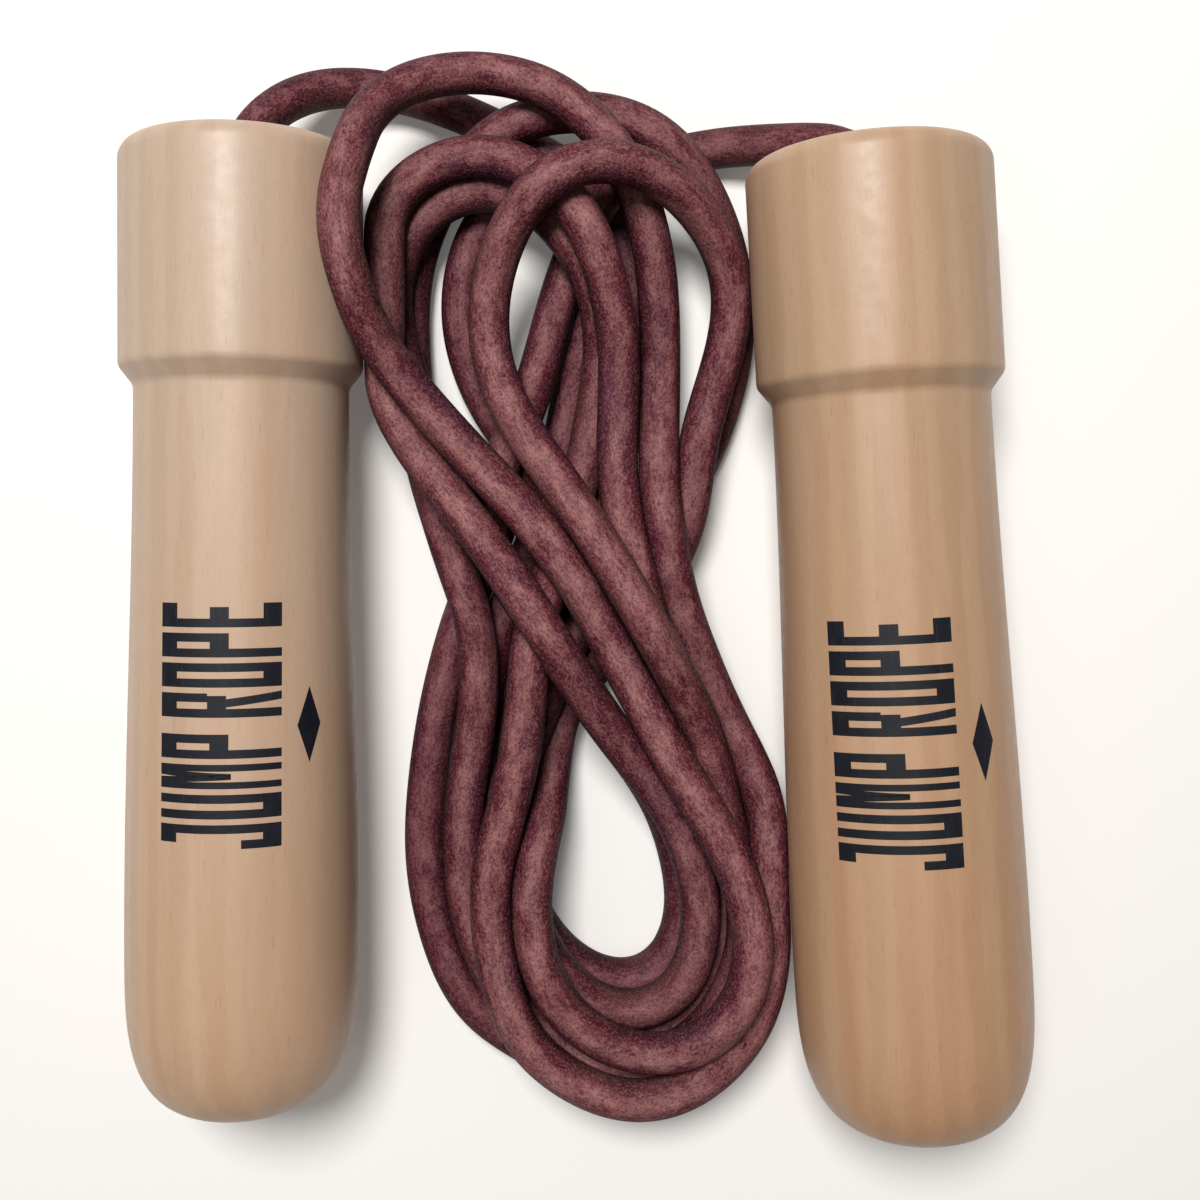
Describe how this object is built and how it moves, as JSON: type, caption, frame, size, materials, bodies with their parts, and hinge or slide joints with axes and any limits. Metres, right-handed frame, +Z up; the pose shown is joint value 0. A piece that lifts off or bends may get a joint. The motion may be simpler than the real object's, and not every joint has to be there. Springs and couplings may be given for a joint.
{
  "type": "jump rope",
  "caption": "Leather jump rope wound in a figure-of-eight hank between two turned wooden handles that spin on ball bearings.",
  "frame": {"origin": "on the surface that the handles lie on, below the middle of the two handles", "axes": "+Y along the handles towards the ends that the rope leaves, +Z up from the surface, +X to the right-hand handle"},
  "size_m": [0.1508, 0.183, 0.04],
  "materials": {
    "wood": "turned pale hardwood, satin lacquer",
    "leather": "round oiled leather cord, brown-red, matte with a short nap",
    "race_steel": "ground bearing steel",
    "ball_steel": "polished bearing steel",
    "cage_nylon": "moulded natural nylon",
    "shield_steel": "pressed sheet steel",
    "zinc": "zinc plated",
    "brass": "plain crimped brass"
  },
  "bodies": {
    "rope": {"rope_hank": "leather", "left_rope_lead": "leather", "left_inner_race": "race_steel", "left_thrust_washer": "zinc", "left_rope_ferrule": "brass", "right_rope_lead": "leather", "right_inner_race": "race_steel", "right_thrust_washer": "zinc", "right_rope_ferrule": "brass"},
    "left_handle": {"left_handle": "wood", "left_outer_race": "race_steel", "left_front_shield": "shield_steel", "left_rear_shield": "shield_steel"},
    "left_ball_ring": {"left_ball_cage": "cage_nylon", "left_ball_1": "ball_steel", "left_ball_2": "ball_steel", "left_ball_3": "ball_steel", "left_ball_4": "ball_steel", "left_ball_5": "ball_steel", "left_ball_6": "ball_steel", "left_ball_7": "ball_steel"},
    "right_handle": {"right_handle": "wood", "right_outer_race": "race_steel", "right_front_shield": "shield_steel", "right_rear_shield": "shield_steel"},
    "right_ball_ring": {"right_ball_cage": "cage_nylon", "right_ball_1": "ball_steel", "right_ball_2": "ball_steel", "right_ball_3": "ball_steel", "right_ball_4": "ball_steel", "right_ball_5": "ball_steel", "right_ball_6": "ball_steel", "right_ball_7": "ball_steel"}
  },
  "joints": [
    {"name": "left_handle_spin", "type": "hinge", "parent": "rope", "child": "left_handle", "pos_m": [-0.0552, 0.0812, 0.02], "axis": [0, 1, 0], "continuous": true},
    {"name": "left_ball_ring_spin", "type": "hinge", "parent": "rope", "child": "left_ball_ring", "pos_m": [-0.0552, 0.0812, 0.02], "axis": [0, 1, 0], "continuous": true},
    {"name": "right_handle_spin", "type": "hinge", "parent": "rope", "child": "right_handle", "pos_m": [0.0487, 0.07885, 0.02], "axis": [-0.0558, 0.9984, 0], "continuous": true},
    {"name": "right_ball_ring_spin", "type": "hinge", "parent": "rope", "child": "right_ball_ring", "pos_m": [0.0487, 0.07885, 0.02], "axis": [-0.0558, 0.9984, 0], "continuous": true}
  ],
  "couplings": [
    {"joint": "left_ball_ring_spin", "follows": "left_handle_spin", "ratio": 0.6233},
    {"joint": "right_ball_ring_spin", "follows": "right_handle_spin", "ratio": 0.6233}
  ]
}
